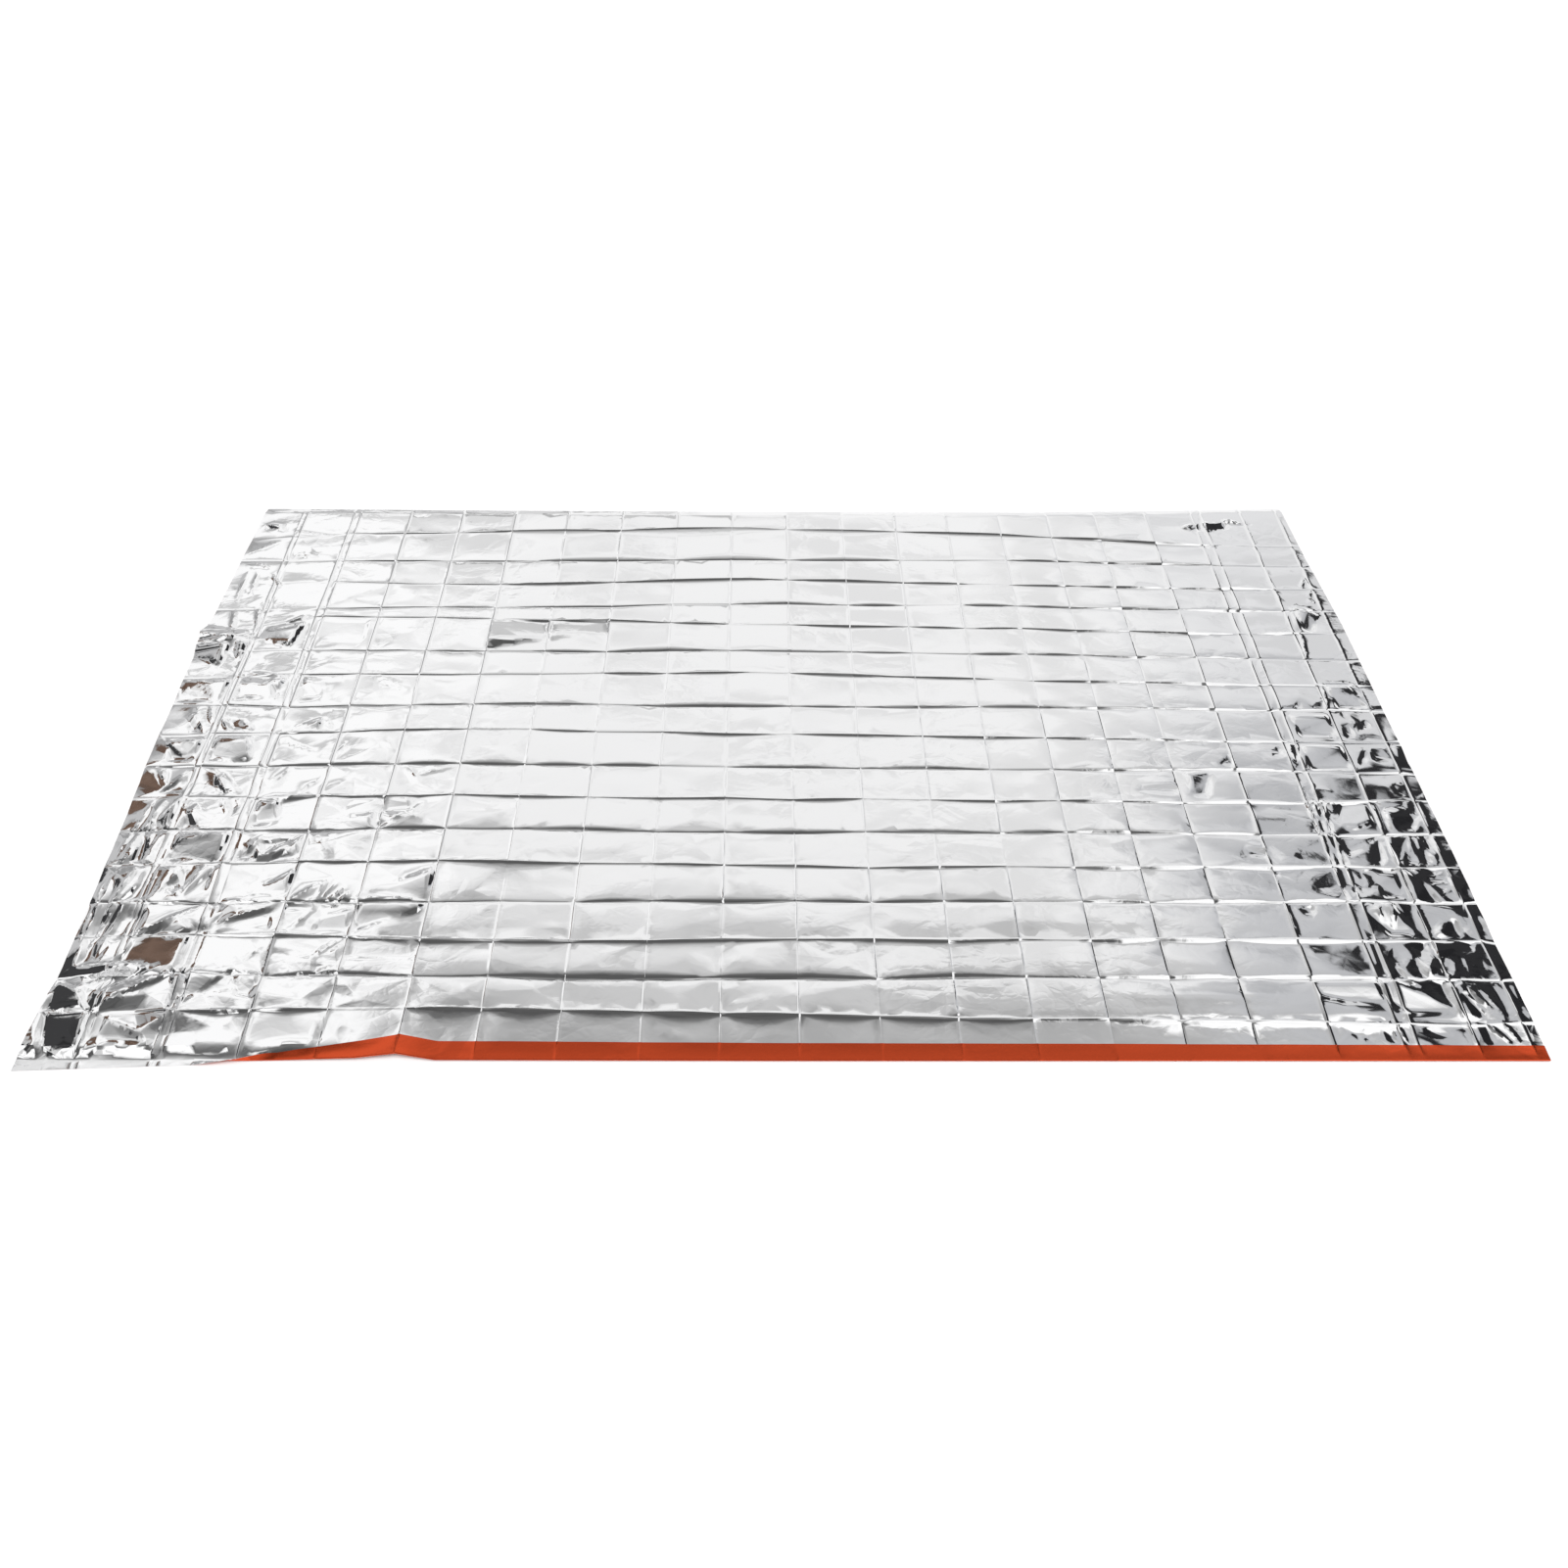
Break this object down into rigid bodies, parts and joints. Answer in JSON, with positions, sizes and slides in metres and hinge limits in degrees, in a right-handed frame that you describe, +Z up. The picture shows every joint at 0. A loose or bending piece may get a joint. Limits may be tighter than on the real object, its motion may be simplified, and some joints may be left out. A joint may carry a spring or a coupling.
{
  "type": "emergency foil blanket",
  "caption": "Thin emergency blanket of metallised film spread out flat, creased in a grid of old folds, with one long edge turned up to show its orange side.",
  "frame": {"origin": "on the surface it rests on, under the middle of the sheet's bounding box", "axes": "+X along the long side, +Y from the turned-up front edge to the far edge, +Z up"},
  "size_m": [2.1254, 1.286, 0.0213],
  "materials": {
    "silver_film": "mirror-bright metallised film, creased, with a glossy orange reverse"
  },
  "bodies": {
    "root": {"foil_sheet": "silver_film"}
  },
  "joints": []
}
